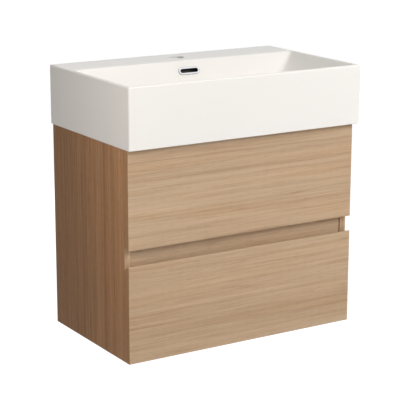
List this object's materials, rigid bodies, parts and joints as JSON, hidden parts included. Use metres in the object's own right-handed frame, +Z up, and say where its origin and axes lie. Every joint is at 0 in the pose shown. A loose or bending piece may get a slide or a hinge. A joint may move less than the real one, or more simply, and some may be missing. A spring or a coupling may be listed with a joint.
{
  "type": "wall-hung vanity",
  "caption": "Wall-hung bathroom vanity: glazed ceramic box basin with sloping bowl on an oak cabinet with upper and lower full-width drawers pulled by a finger gap.",
  "frame": {"origin": "centre of the four wall screws' pattern, on the wall plane, midway between the side panels", "axes": "+X to the right seen from the front, +Y into the wall, +Z up"},
  "size_m": [0.6, 0.365, 0.609],
  "materials": {
    "ceramic": "glossy white glaze",
    "chrome": "polished",
    "silicone": "matt",
    "oak_front": "light oak, horizontal grain, matt",
    "oak_side": "light oak, vertical grain, matt",
    "carcass_board": "light oak laminate",
    "drawer_board": "light grey laminate",
    "runner_steel": "zinc plated",
    "plate_steel": "zinc plated",
    "zinc": "zinc",
    "hanger_plastic": "white plastic",
    "surround_plastic": "grey plastic",
    "dowel_wood": "beech, fluted",
    "bumper": "clear"
  },
  "bodies": {
    "cabinet": {"basin": "ceramic", "basin_seal": "silicone", "bottom_panel": "carcass_board", "cam_bolts": "zinc", "cam_locks": "zinc", "dowels": "dowel_wood", "front_bumpers": "bumper", "hanger_hook_left": "plate_steel", "hanger_hook_right": "plate_steel", "hanger_housing_left": "hanger_plastic", "hanger_housing_right": "hanger_plastic", "hanger_screws": "zinc", "lower_back_rail": "carcass_board", "lower_runner_cabinet_member_left": "runner_steel", "lower_runner_cabinet_member_right": "runner_steel", "middle_rail": "oak_front", "overflow_trim": "chrome", "runner_cabinet_screws": "zinc", "side_panel_left": "oak_side", "side_panel_right": "oak_side", "top_front_rail": "carcass_board", "upper_back_rail": "carcass_board", "upper_runner_cabinet_member_left": "runner_steel", "upper_runner_cabinet_member_right": "runner_steel", "wall_plate_left": "plate_steel", "wall_plate_right": "plate_steel"},
    "upper_drawer": {"trap_surround": "surround_plastic", "upper_drawer_back_left": "drawer_board", "upper_drawer_back_right": "drawer_board", "upper_drawer_bottom": "drawer_board", "upper_drawer_front": "oak_front", "upper_drawer_front_screws": "zinc", "upper_drawer_inner_front": "drawer_board", "upper_drawer_runner_screws": "zinc", "upper_drawer_side_left": "drawer_board", "upper_drawer_side_right": "drawer_board", "upper_runner_drawer_member_left": "runner_steel", "upper_runner_drawer_member_right": "runner_steel"},
    "lower_drawer": {"lower_drawer_back": "drawer_board", "lower_drawer_bottom": "drawer_board", "lower_drawer_front": "oak_front", "lower_drawer_front_screws": "zinc", "lower_drawer_inner_front": "drawer_board", "lower_drawer_runner_screws": "zinc", "lower_drawer_side_left": "drawer_board", "lower_drawer_side_right": "drawer_board", "lower_runner_drawer_member_left": "runner_steel", "lower_runner_drawer_member_right": "runner_steel"},
    "upper_middle_member_left": {"upper_runner_middle_member_left": "runner_steel"},
    "upper_middle_member_right": {"upper_runner_middle_member_right": "runner_steel"},
    "lower_middle_member_left": {"lower_runner_middle_member_left": "runner_steel"},
    "lower_middle_member_right": {"lower_runner_middle_member_right": "runner_steel"}
  },
  "joints": [
    {"name": "upper_drawer_slide", "type": "slide", "parent": "cabinet", "child": "upper_drawer", "axis": [0, -1, 0], "range_m": [0, 0.25]},
    {"name": "upper_middle_member_slide_left", "type": "slide", "parent": "cabinet", "child": "upper_middle_member_left", "axis": [0, -1, 0], "range_m": [0, 0.125]},
    {"name": "upper_middle_member_slide_right", "type": "slide", "parent": "cabinet", "child": "upper_middle_member_right", "axis": [0, -1, 0], "range_m": [0, 0.125]},
    {"name": "lower_drawer_slide", "type": "slide", "parent": "cabinet", "child": "lower_drawer", "axis": [0, -1, 0], "range_m": [0, 0.25]},
    {"name": "lower_middle_member_slide_left", "type": "slide", "parent": "cabinet", "child": "lower_middle_member_left", "axis": [0, -1, 0], "range_m": [0, 0.125]},
    {"name": "lower_middle_member_slide_right", "type": "slide", "parent": "cabinet", "child": "lower_middle_member_right", "axis": [0, -1, 0], "range_m": [0, 0.125]}
  ],
  "couplings": [
    {"joint": "upper_middle_member_slide_left", "follows": "upper_drawer_slide", "ratio": 0.5},
    {"joint": "upper_middle_member_slide_right", "follows": "upper_drawer_slide", "ratio": 0.5},
    {"joint": "lower_middle_member_slide_left", "follows": "lower_drawer_slide", "ratio": 0.5},
    {"joint": "lower_middle_member_slide_right", "follows": "lower_drawer_slide", "ratio": 0.5}
  ]
}
